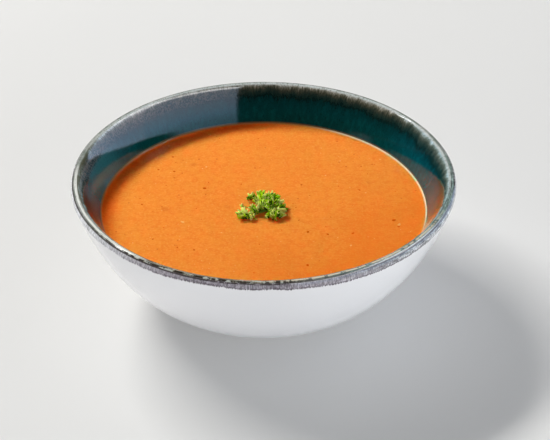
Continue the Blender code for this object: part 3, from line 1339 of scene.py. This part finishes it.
@dataclass(frozen=True)
class Lobe:
    """One curled lobe of a curly leaf, a unit long, to be copied at its true length."""

    name: str
    curl: float  # how far it bends back over its length, in radians
    fold: float  # how deep its middle lies below its edges
    spread: float  # its greatest width
    twist: float  # how far its tip turns about its length, in radians
    rows: int = 5
    columns: int = 4
    thickness: float = 0.085
    narrowest: float = 0.34  # width at its root's end of the curve, as a share of its spread
    fullest: float = 1.2  # how soon the width falls off on both sides of its widest row
    tooth: float = 0.10  # how far its teeth stand out
    notch: float = 0.09  # how far the gaps between them are cut in

    def _width(self, t: float) -> float:
        """Width at t of the way to the tip."""
        swell = math.sin(math.pi * min(1.0, 0.12 + 0.70 * t)) ** self.fullest
        return self.spread * (self.narrowest + (1 - self.narrowest) * swell)

    def build(self) -> bpy.types.Object:
        """Shape the lobe from a grid, row by row from its root to its tip.

        Returns:
            The lobe, with its "tip" and "rim" attributes.
        """
        put_down()
        bpy.ops.mesh.primitive_grid_add(
            x_subdivisions=self.columns, y_subdivisions=self.rows, size=1.0, location=(0, 0.5, 0)
        )
        piece = active_piece(self.name)
        apply_place(piece)
        store(piece, "tip", lambda vert: vert.co.y)
        store(piece, "rim", lambda vert: (2 * vert.co.x) ** 2)
        with editing(piece):
            self._cut_teeth(piece)
            self._fold_middle(piece)
            for row in range(self.rows, -1, -1):
                self._curl_row(piece, row / self.rows)
        modifier = piece.modifiers.new("leaf", "SOLIDIFY")
        modifier.thickness = self.thickness
        modifier.offset = 0.0
        pick_up(piece)
        bpy.ops.object.modifier_apply(modifier=modifier.name)
        smooth(piece)
        return piece

    def _cut_teeth(self, piece: bpy.types.Object) -> None:
        """Pull the last row's points forward and back in turn, which leaves three teeth.

        Args:
            piece: The open lobe.
        """
        for column in range(self.columns + 1):
            x = -0.5 + column / self.columns
            out = -self.notch if column % 2 else self.tooth
            select_points(piece, lambda co, x=x: co.y > 0.999 and abs(co.x - x) < 0.01)
            bpy.ops.transform.translate(value=(0.0, out, 0.0))

    def _fold_middle(self, piece: bpy.types.Object) -> None:
        """Sink the middle columns below the edges.

        Args:
            piece: The open lobe.
        """
        for share in (0.30, 0.01):
            select_points(piece, lambda co, share=share: abs(co.x) < share)
            bpy.ops.transform.translate(value=(0.0, 0.0, -self.fold / 2))

    def _curl_row(self, piece: bpy.types.Object, t: float) -> None:
        """Narrow one row, twist it and swing it onto the curl's arc.

        Args:
            piece: The open lobe.
            t: How far along the lobe the row lies.
        """
        reach = 0.45 / self.rows
        select_points(piece, lambda co: abs(min(co.y, 1.0) - t) < reach or (t == 1 and co.y > 0.9))
        width = self._width(t)
        bpy.ops.transform.resize(value=(width, 1.0, 1.0), center_override=(0, t, 0))
        turn = self.twist * t
        bpy.ops.transform.rotate(value=turn, orient_axis="Y", center_override=(0, t, 0))
        bend = self.curl * t
        bpy.ops.transform.rotate(value=-bend, orient_axis="X", center_override=(0, t, 0))
        on_arc = Vector((0.0, math.sin(bend) / self.curl, (1 - math.cos(bend)) / self.curl))
        bpy.ops.transform.translate(value=on_arc - Vector((0.0, t, 0.0)))


LOBES = (
    Lobe("lobe_open", curl=0.7, fold=0.09, spread=0.24, twist=0.3),
    Lobe("lobe_curled", curl=1.2, fold=0.10, spread=0.20, twist=-0.5),
    Lobe("lobe_twisted", curl=0.9, fold=0.08, spread=0.26, twist=0.9),
    Lobe("lobe_narrow", curl=0.5, fold=0.08, spread=0.16, twist=-0.2),
)


GOLDEN_TURN = 2.399963  # angle between one lobe and the next round a tuft, in radians


@dataclass(frozen=True)
class Tuft:
    """Tuft of lobes that fan out from one point; places in mm from the soup surface's middle."""

    name: str
    root: tuple[float, float, float]
    tip: tuple[float, float, float]  # where a lobe in the fan's middle ends
    opening: float  # half angle of the fan, in degrees
    lobes: int
    shade: float  # 0 dark to 1 bright


TUFTS = (
    Tuft("fill_a", (0.6, -2.4, 1.8), (0.3, -0.1, 3.8), 62, 9, 0.55),
    Tuft("fill_b", (2.8, 0.5, 2.1), (3.7, 2.2, 4.1), 60, 9, 0.55),
    Tuft("fill_c", (-1.7, 1.3, 1.8), (-2.0, 3.3, 3.5), 60, 8, 0.55),
    Tuft("fill_d", (5.9, -4.3, 1.1), (7.8, -3.7, 2.4), 50, 7, 0.35),
    Tuft("fill_e", (5.9, -8.6, 0.8), (7.9, -9.7, 1.8), 45, 6, 0.45),
    Tuft("fill_f", (0.1, -4.9, 1.3), (1.0, -3.7, 3.2), 55, 8, 0.40),
    Tuft("extra_a", (8.6, -3.4, 0.8), (9.3, -1.5, 1.6), 45, 6, 0.55),
    Tuft("extra_b", (7.6, -8.1, 0.7), (9.2, -6.5, 1.6), 40, 6, 0.60),
    Tuft("extra_c", (2.3, -11.2, 0.7), (1.1, -9.3, 1.4), 45, 6, 0.40),
    Tuft("far_left", (-5.6, 4.0, 0.9), (-5.9, 5.9, 2.7), 82, 16, 0.50),
    Tuft("top_left", (-1.7, 3.4, 2.3), (-2.2, 6.2, 3.1), 26, 6, 0.45),
    Tuft("top", (-0.5, 3.4, 2.3), (-0.2, 6.2, 3.2), 26, 6, 0.55),
    Tuft("top_right", (1.5, 3.4, 2.3), (1.6, 5.8, 2.6), 34, 6, 0.50),
    Tuft("back_right", (2.8, 2.2, 2.6), (3.7, 5.0, 2.9), 28, 8, 0.45),
    Tuft("back_far_right", (3.9, 1.3, 2.6), (5.5, 3.6, 3.0), 30, 6, 0.45),
    Tuft("shoulder_right", (5.0, 0.9, 2.3), (7.3, 2.4, 2.8), 30, 6, 0.40),
    Tuft("crown_left", (-0.3, -0.3, 2.6), (-0.3, 1.4, 5.0), 58, 12, 0.70),
    Tuft("crown", (1.9, -0.3, 2.6), (2.5, 1.4, 5.0), 55, 12, 0.65),
    Tuft("left", (-2.6, -1.1, 1.8), (-3.6, 0.9, 3.4), 60, 10, 0.60),
    Tuft("crown_front_left", (-0.8, -4.0, 2.3), (-1.3, -2.4, 4.6), 58, 10, 0.60),
    Tuft("crown_front", (1.4, -4.4, 2.1), (1.2, -2.8, 4.4), 55, 10, 0.60),
    Tuft("crown_right", (4.1, -2.0, 2.6), (5.4, -0.8, 4.8), 55, 10, 0.50),
    Tuft("right_top", (5.5, -2.0, 2.1), (7.2, -0.4, 3.1), 34, 8, 0.45),
    Tuft("right_up", (6.4, -2.4, 1.8), (8.8, -0.7, 2.3), 20, 5, 0.60),
    Tuft("right", (6.8, -4.9, 1.6), (9.1, -3.8, 2.0), 24, 5, 0.35),
    Tuft("right_down", (6.8, -6.5, 1.3), (9.6, -6.6, 1.5), 24, 5, 0.40),
    Tuft("finger", (5.6, -8.2, 1.4), (9.3, -7.7, 1.2), 11, 4, 0.95),
    Tuft("low_finger", (6.7, -11.1, 0.8), (9.5, -9.4, 1.0), 11, 4, 0.80),
    Tuft("palm_top", (3.9, -9.4, 2.4), (2.9, -7.9, 3.0), 70, 8, 0.70),
    Tuft("palm_left", (3.9, -8.9, 2.1), (2.4, -11.5, 1.1), 24, 6, 0.30),
    Tuft("palm", (4.1, -9.3, 2.1), (4.4, -12.3, 0.9), 24, 6, 0.40),
    Tuft("palm_right", (4.5, -9.3, 1.8), (6.4, -11.9, 0.9), 22, 5, 0.30),
    Tuft("blade", (-3.9, -7.3, 1.6), (-2.4, -4.4, 2.7), 15, 5, 0.85),
    Tuft("left_low", (-4.8, -4.8, 1.3), (-5.6, -2.9, 2.5), 45, 8, 0.55),
    Tuft("left_fold", (-3.9, -7.9, 0.9), (-4.9, -6.3, 2.0), 50, 8, 0.25),
    Tuft("front_left", (-2.6, -7.2, 1.2), (-2.0, -5.3, 2.7), 50, 8, 0.45),
    Tuft("front", (-0.8, -6.3, 2.0), (-0.8, -4.9, 3.9), 52, 9, 0.50),
    Tuft("front_right", (1.4, -7.0, 1.9), (1.8, -7.0, 4.0), 50, 8, 0.45),
    Tuft("right_fold", (2.8, -4.8, 2.6), (3.8, -3.0, 4.1), 50, 9, 0.40),
    Tuft("side_left", (-8.6, -9.7, 0.8), (-10.6, -6.9, 1.4), 28, 9, 0.70),
    Tuft("side_back", (-8.6, -9.3, 0.8), (-9.3, -6.2, 1.8), 25, 8, 0.75),
    Tuft("side_low", (-8.8, -10.3, 0.7), (-11.9, -8.4, 0.8), 18, 5, 0.60),
    Tuft("side_front", (-8.8, -11.1, 0.7), (-11.6, -11.5, 0.7), 18, 4, 0.50),
    Tuft("side_base", (-7.7, -11.6, 0.7), (-7.7, -9.5, 1.5), 55, 10, 0.10),
    Tuft("side_curl", (-9.7, -3.6, 1.4), (-10.2, -1.8, 1.6), 18, 3, 0.60),
    Tuft("drop_top", (-5.5, -8.6, 1.1), (-6.2, -8.1, 2.5), 60, 6, 0.85),
    Tuft("drop", (-5.5, -9.9, 0.9), (-5.7, -12.9, 0.8), 18, 5, 0.80),
    Tuft("drop_right", (-5.2, -9.9, 0.9), (-4.5, -12.4, 0.8), 15, 3, 0.60),
    Tuft("drop_left", (-6.5, -12.0, 0.7), (-7.0, -10.2, 1.2), 55, 6, 0.30),
)


@dataclass
class Parsley:
    """Sprig of curly parsley: lobes gathered in leaflets, leaflets on stems from two forks."""

    level: float
    heart: Vector = field(default_factory=lambda: Vector((1.9, -6.0, 1.4)))
    side_heart: Vector = field(default_factory=lambda: Vector((-6.8, -10.8, 0.9)))
    side_from: float = -4.5  # tufts left of this and in front of side_front grow from side_heart
    side_front: float = -4.5
    stem_r: float = 0.30
    stem_taper: float = 0.6
    stem_sides: int = 8
    stem_steps: int = 5
    stem_into: float = 0.35  # how far a stem reaches from its tuft's root to the tuft's tip
    side_bow: float = 0.3
    crease: float = math.radians(50)
    fullness: float = 1.1  # lobes for each one in the table
    shade_step: float = 0.48  # how far a lobe's shade may lie from its tuft's
    seed: int = 7
    leaf: CurlyLeaf = field(default_factory=CurlyLeaf)
    stem: PaleStem = field(default_factory=PaleStem)

    def _to_world(self, place: Vector) -> Vector:
        """Millimetres from the surface's middle to metres in the frame."""
        return Vector((0.0, 0.0, self.level)) + MM * place

    def _lobe_copy(
        self,
        lobe: bpy.types.Object,
        root: Vector,
        along: Vector,
        lift: Vector,
        length: float,
        sort: float,
    ) -> bpy.types.Object:
        """Copy a lobe to its place in a tuft.

        Args:
            lobe: The lobe to copy.
            root: Where it starts, in millimetres from the surface's middle.
            along: The way it points.
            lift: The side its curl turns to.
            length: Its length in millimetres.
            sort: Its own shade, near 0 dark and near 1 bright.

        Returns:
            The copy, with its place in its mesh.
        """
        y = along.normalized()
        x = y.cross(lift).normalized()
        z = x.cross(y)
        turn = Matrix((x, y, z)).transposed().to_4x4()
        size = Matrix.Scale(length * MM, 4)
        copy = copy_of(lobe, Matrix.Translation(self._to_world(root)) @ turn @ size)
        store(copy, "sort", lambda vert: sort)
        return copy

    def _tuft(
        self, tuft: Tuft, lobes: Sequence[bpy.types.Object], chance: random.Random
    ) -> list[bpy.types.Object]:
        """Fan one tuft's lobes out from its root.

        Args:
            tuft: The tuft.
            lobes: The lobes to copy.
            chance: Source of the small differences.

        Returns:
            The copies.
        """
        root = Vector(tuft.root)
        facing = Vector(tuft.tip) - root
        reach = facing.length
        facing.normalize()
        across = facing.orthogonal().normalized()
        widest = math.radians(tuft.opening)
        copies = []
        count = round(tuft.lobes * self.fullness)
        for n in range(count):
            lean = widest * math.sqrt((n + 0.5) / count) * chance.uniform(0.85, 1.10)
            side = Quaternion(facing, GOLDEN_TURN * n + chance.uniform(-0.4, 0.4)) @ across
            along = facing * math.cos(lean) + side * math.sin(lean)
            loose = Vector([chance.uniform(-0.8, 0.8) for _ in range(3)])
            lift = UP * 0.7 + side * 0.3 + loose
            shade = tuft.shade + self.shade_step * chance.uniform(-1.0, 1.0)
            length = reach * chance.uniform(0.85, 1.20)
            lobe = chance.choice(lobes)
            copies.append(self._lobe_copy(lobe, root, along, lift, length, shade))
        return copies

    def _stem(self, name: str, start: Vector, end: Vector, bow: float) -> bpy.types.Object:
        """Draw one stem out of a ring, step by step along a slight bow.

        Args:
            name: The stem's name.
            start: Its root, in millimetres from the surface's middle.
            end: Its tip.
            bow: How far its middle rises above the straight line, in millimetres.

        Returns:
            The stem, closed at both ends, with its "tip" attribute.
        """
        along = end - start
        shares = [n / self.stem_steps for n in range(self.stem_steps + 1)]
        points = [start + along * t + UP * bow * math.sin(math.pi * t) for t in shares]
        radii = [self.stem_r * MM * (1.25 - self.stem_taper * t) for t in shares]
        put_down()
        bpy.ops.mesh.primitive_circle_add(
            vertices=self.stem_sides,
            radius=radii[0],
            fill_type="NGON",
            location=self._to_world(points[0]),
            rotation=along.to_track_quat("Z", "Y").to_euler(),
        )
        piece = active_piece(name)
        apply_place(piece)
        with editing(piece):
            bpy.ops.mesh.select_all(action="SELECT")
            for n in range(1, len(points)):
                step = (points[n] - points[n - 1]) * MM
                bpy.ops.mesh.extrude_region_move(TRANSFORM_OT_translate={"value": step})
                thinner = radii[n] / radii[n - 1]
                here = self._to_world(points[n])
                bpy.ops.transform.resize(value=(thinner,) * 3, center_override=here)
            bpy.ops.mesh.select_all(action="SELECT")
            bpy.ops.mesh.normals_make_consistent(inside=False)
        root, way = self._to_world(start), along.normalized() / (along.length * MM)
        store(piece, "tip", lambda vert: min(1.0, max(0.0, (vert.co - root).dot(way))))
        return piece

    def build(self) -> tuple[bpy.types.Object, bpy.types.Object]:
        """Gather the sprig's lobes and stems.

        Returns:
            The leaves and the stems.
        """
        chance = random.Random(self.seed)
        lobes = [lobe.build() for lobe in LOBES]
        leaves: list[bpy.types.Object] = []
        stems = [self._stem("side_stem", self.heart, self.side_heart, self.side_bow)]
        for tuft in TUFTS:
            leaves += self._tuft(tuft, lobes, chance)
            root = Vector(tuft.root)
            aside = root.x < self.side_from and root.y < self.side_front
            heart = self.side_heart if aside else self.heart
            end = root.lerp(Vector(tuft.tip), self.stem_into)
            stems.append(self._stem(f"{tuft.name}_stem", heart, end, chance.uniform(0.1, 0.5)))
        discard(lobes)
        sprig = join("parsley_leaves", leaves)
        smooth(sprig)
        finish_piece(sprig, self.leaf.build())
        stalks = join("parsley_stems", stems)
        smooth(stalks, self.crease)
        finish_piece(stalks, self.stem.build())
        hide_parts("parsley")
        return sprig, stalks


# ---------------------------------------------------------------- studio


class Reach(Enum):
    """What a light works on."""

    ALL = "all"
    SHADE = "shade"  # matt light only, never mirrored
    GLOSS = "gloss"  # seen only in reflections


@dataclass(frozen=True)
class SoftLight:
    """Rectangular soft light that looks at the bowl."""

    name: str
    azimuth: float  # degrees from +X round +Z, from the bowl to the light
    elevation: float  # degrees above the floor
    distance: float
    width: float
    height: float
    radiance: float
    colour: Colour = (1.0, 1.0, 1.0)
    reach: Reach = Reach.ALL
    fade: Stops = ()  # radiance from its bottom, 0, to its top, 1
    aim: tuple[float, float, float] = (0.0, 0.0, 0.05)

    def _fade(self, light: bpy.types.Light) -> None:
        """Let the radiance change from the light's bottom to its top.

        Args:
            light: The light.
        """
        graph = Graph(light)
        across = graph.add("ShaderNodeNewGeometry", {}, {}, "Parametric")
        glow = graph.ramp(graph.part(across, "Y"), self.fade)
        graph.show(graph.add("ShaderNodeEmission", {}, {"Color": glow}), "ShaderNodeOutputLight")

    def build(self) -> bpy.types.Object:
        """Hang the light.

        Returns:
            The light.
        """
        light = bpy.data.lights.new(self.name, "AREA")
        light.shape = "RECTANGLE"
        light.size = self.width
        light.size_y = self.height
        light.energy = self.radiance * math.pi * self.width * self.height
        light.color = self.colour
        if self.fade:
            self._fade(light)
        made = bpy.data.objects.new(self.name, light)
        turn, lift = math.radians(self.azimuth), math.radians(self.elevation)
        level = math.cos(lift)
        way = Vector((level * math.cos(turn), level * math.sin(turn), math.sin(lift)))
        made.location = Vector(self.aim) + way * self.distance
        made.rotation_mode = "QUATERNION"
        made.rotation_quaternion = way.to_track_quat("Z", "Y")
        made.visible_camera = False
        made.visible_diffuse = self.reach is not Reach.GLOSS
        made.visible_glossy = self.reach is not Reach.SHADE
        bpy.context.scene.collection.objects.link(made)
        return made


@dataclass
class Studio:
    """Pale floor, soft lights and the camera."""

    camera_place: tuple[float, float, float] = (0.0, -0.57824, 0.41783)
    camera_down: float = math.radians(33.546)
    camera_right: float = math.radians(0.499)
    lens: float = 100.6
    sensor: float = 36.0
    near: float = 0.01
    floor_size: float = 6.0
    floor_glow: float = 0.14
    floor_tints: tuple[Colour, Colour] = ((0.54, 0.54, 0.54), (0.57, 0.57, 0.56))
    backdrop: Colour = (0.78, 0.78, 0.78)
    overhead: float = 0.5
    matt_dim: float = 0.62  # how much less of the overhead glow matt surfaces get
    dark: float = 0.010  # radiance of the dark surroundings
    panes: int = 14
    pane_turn: float = 8.5  # width of a pane, in degrees round the bowl
    window_from: float = -72.0  # azimuth where the window begins
    window_off: float = 1.6  # distance from the bowl
    sill: float = 0.02  # height of its lower edge
    ledge_up: float = 10.5  # elevation of the window's dark ledge in its first pane
    ledge_slope: float = -0.14  # how it sinks from pane to pane, per degree round
    ledge_panes: int = 8
    ledge_sky: Stops = (
        (-1.5, (0.22, 0.32, 0.50)),
        (1.5, (0.80, 1.35, 1.9)),
        (6.0, (1.1, 1.75, 2.5)),
        (11.0, (1.4, 2.1, 3.1)),
        (18.0, (1.9, 2.4, 3.2)),
    )  # degrees over the ledge, radiance
    dim_first: float = 0.25  # how much darker the first pane is
    sky_above: Colour = (8.8, 9.0, 9.4)
    above_from: float = 50.0  # elevation where the brighter sky begins in the first panes
    above_blend: float = 6.0  # degrees over which it begins
    last_sky: Stops = (
        (0.0, (1.8, 2.2, 3.0)),
        (11.0, (1.6, 2.2, 3.1)),
        (18.0, (2.0, 2.4, 3.2)),
        (23.0, (2.3, 2.6, 3.3)),
        (36.0, (4.4, 4.7, 5.6)),
        (42.0, (9.4, 9.6, 10.2)),
        (61.0, (8.8, 9.0, 9.6)),
    )  # elevation in degrees, radiance
    lights: tuple[SoftLight, ...] = (
        SoftLight("key", 136.0, 44.0, 2.4, 1.30, 0.32, 55.5, (1.0, 0.985, 0.95), Reach.SHADE),
        SoftLight("glint", 134.0, 49.0, 2.4, 1.30, 0.10, 20.0, (1.0, 0.99, 0.97), Reach.GLOSS),
        SoftLight("right_fill", -32.0, 10.0, 1.6, 2.6, 0.50, 4.6, (0.95, 0.98, 1.0), Reach.SHADE),
        SoftLight("left_fill", -150.0, 9.0, 1.6, 2.2, 0.45, 2.3, (0.95, 0.97, 1.0), Reach.SHADE),
    )

    def _floor_finish(self) -> bpy.types.Material:
        """Matt pale floor with a faint cloudiness."""
        graph = Graph.of_material("pale_floor")
        cloud = graph.noise(graph.place(), 3.0, 2.0)
        inputs = {
            "Base Color": graph.blend(cloud, *self.floor_tints),
            "Roughness": cloud * 0.1 + 0.75,
            "Emission Color": (1.0, 1.0, 1.0),
            "Emission Strength": self.floor_glow,
        }
        return graph.principled(inputs)

    def build_floor(self) -> bpy.types.Object:
        """Lay the floor.

        Returns:
            The floor.
        """
        put_down()
        bpy.ops.mesh.primitive_plane_add(size=self.floor_size, location=(0.0, 0.0, 0.0))
        floor = active_piece("studio_floor")
        floor.data.materials.append(self._floor_finish())
        return floor

    def build_camera(self) -> bpy.types.Object:
        """Set up the camera.

        Returns:
            The camera.
        """
        camera = bpy.data.cameras.new("camera")
        camera.lens = self.lens
        camera.sensor_width = self.sensor
        camera.clip_start = self.near
        made = bpy.data.objects.new("camera", camera)
        made.location = self.camera_place
        made.rotation_euler = (math.pi / 2 - self.camera_down, 0.0, -self.camera_right)
        bpy.context.scene.collection.objects.link(made)
        bpy.context.scene.camera = made
        return made

    def _pane_sky(self, azimuth: float, pane: int) -> Stops:
        """Radiance seen through one pane, by elevation in degrees.

        Args:
            azimuth: The pane's azimuth in degrees.
            pane: Its number; only the first few have the ledge.

        Returns:
            The stops, from the sill up.
        """
        if pane >= self.ledge_panes:
            return self.last_sky
        ledge = self.ledge_up + self.ledge_slope * (azimuth - self.window_from)
        dim = 1.0 - self.dim_first * (1.0 - pane / self.ledge_panes)
        low = tuple(
            (max(0.0, ledge + over), tuple(dim * part for part in sky))
            for over, sky in self.ledge_sky
        )
        last = low[-1][1]
        top = self.last_sky[-1][0]
        return (
            *low,
            (self.above_from - self.above_blend, last),
            (self.above_from, self.sky_above),
            (top, self.sky_above),
        )

    def window(self) -> tuple[SoftLight, ...]:
        """Tall window that is mirrored in the bowl, in narrow panes round its right side.

        Returns:
            The panes, each a light.
        """
        tall = self.window_off * math.tan(math.radians(self.last_sky[-1][0]))
        panes = []
        for n in range(self.panes):
            azimuth = self.window_from + (n + 0.5) * self.pane_turn
            fade = tuple(
                (self.window_off * math.tan(math.radians(up)) / tall, sky)
                for up, sky in self._pane_sky(azimuth, n)
            )
            pane = SoftLight(
                name=f"window_{n}",
                azimuth=azimuth,
                elevation=0.0,
                distance=self.window_off,
                width=2 * self.window_off * math.tan(math.radians(self.pane_turn / 2)),
                height=tall,
                radiance=1.0,
                reach=Reach.GLOSS,
                fade=fade,
                aim=(0.0, 0.0, self.sill + tall / 2),
            )
            panes.append(pane)
        return tuple(panes)

    def build_world(self) -> None:
        """Hang a soft overhead glow in dark surroundings, behind a pale backdrop."""
        world = bpy.data.worlds.new("soft_fill")
        graph = Graph(world)
        height = graph.part(graph.add("ShaderNodeTexCoord", {}, {}, "Generated"), "Z")
        matt = graph.add("ShaderNodeLightPath", {}, {}, "Is Diffuse Ray")
        glow = height.ease(0.80, 0.97) * self.overhead * (1.0 - matt * self.matt_dim)
        glow = glow + self.dark
        seen = graph.add("ShaderNodeLightPath", {}, {}, "Is Camera Ray")
        light = graph.blend(seen, graph.vector(glow, glow, glow), self.backdrop)
        graph.show(graph.add("ShaderNodeBackground", {}, {"Color": light}), "ShaderNodeOutputWorld")
        bpy.context.scene.world = world

    def build(self) -> None:
        """Set the stage."""
        scene = bpy.context.scene
        scene.view_settings.view_transform = "Standard"
        self.build_world()
        self.build_floor()
        for light in self.lights + self.window():
            light.build()
        self.build_camera()


SOLID_CLIMB = 0.8 * MM  # how far the solid soup's edge climbs above its level


def main() -> None:
    """Build the bowl, the soup and the parsley, and set the stage."""
    logging.basicConfig(level=logging.INFO, format="%(name)s: %(message)s")
    opening = frame["record"]["name"] if "name" in frame["record"] else "tomato soup"
    log.info("dressing %s", opening)
    bowl = Bowl()
    bowl.build()
    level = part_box("soup")[1].z - SOLID_CLIMB
    Soup(bowl, level).build()
    Parsley(level).build()
    Studio().build()


if __name__ == "__main__":
    main()
